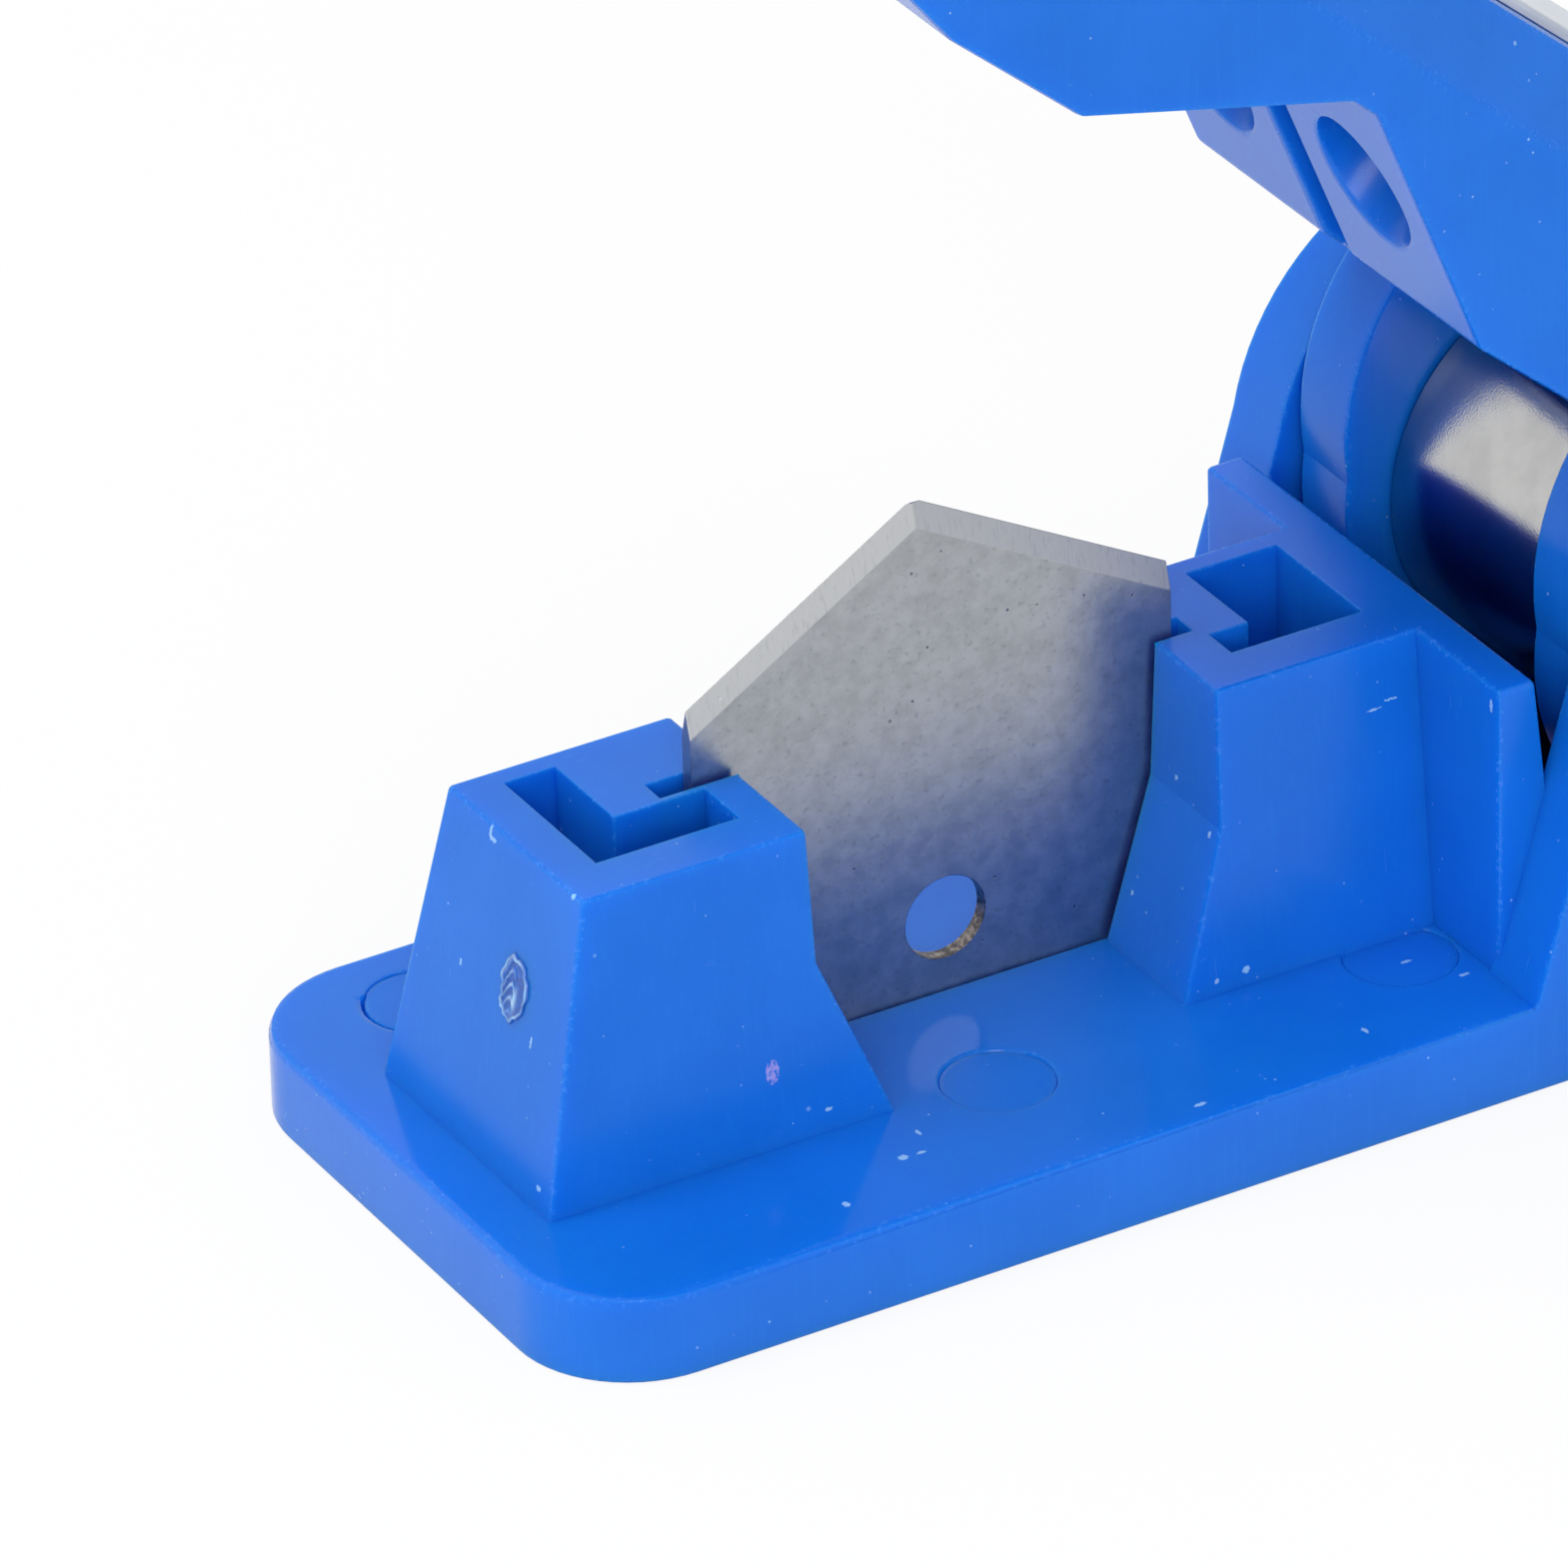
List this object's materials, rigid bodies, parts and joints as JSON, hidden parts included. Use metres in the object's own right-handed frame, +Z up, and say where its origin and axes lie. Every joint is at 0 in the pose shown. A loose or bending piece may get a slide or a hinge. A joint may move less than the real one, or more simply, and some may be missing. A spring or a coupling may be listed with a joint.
{
  "type": "pneumatic tube cutter",
  "caption": "Blue plastic cutter for pneumatic tube: a base with an upright pentagonal steel blade between posts and a sprung, notched lever on a hinge pin.",
  "frame": {"origin": "middle of the flat underside of the base plate", "axes": "+Z up from the underside, -X towards the free end of the base, +X towards the hinge, hinge axis along Y"},
  "size_m": [0.061, 0.0236, 0.0552],
  "materials": {
    "blue_plastic": "semi-gloss moulded plastic",
    "lever_plastic": "semi-gloss moulded plastic",
    "blade_steel": "grey hardened strip with ground cutting edges",
    "spring_steel": "smooth bright strip",
    "pin_steel": "turned, satin",
    "plate_metal": "satin sheet"
  },
  "bodies": {
    "base": {"base_body": "blue_plastic", "blade": "blade_steel", "hinge_pin": "pin_steel", "opening_spring": "spring_steel"},
    "lever_body": {"lever": "lever_plastic", "nameplate": "plate_metal"}
  },
  "joints": [
    {"name": "lever_hinge", "type": "hinge", "parent": "base", "child": "lever_body", "pos_m": [0.0175, 0, 0.012], "axis": [0, -1, 0], "range_deg": [0, 40.5], "stiffness_Nm_per_rad": 0.2, "springref_deg": -34.38, "deforming": ["opening_spring"]}
  ]
}
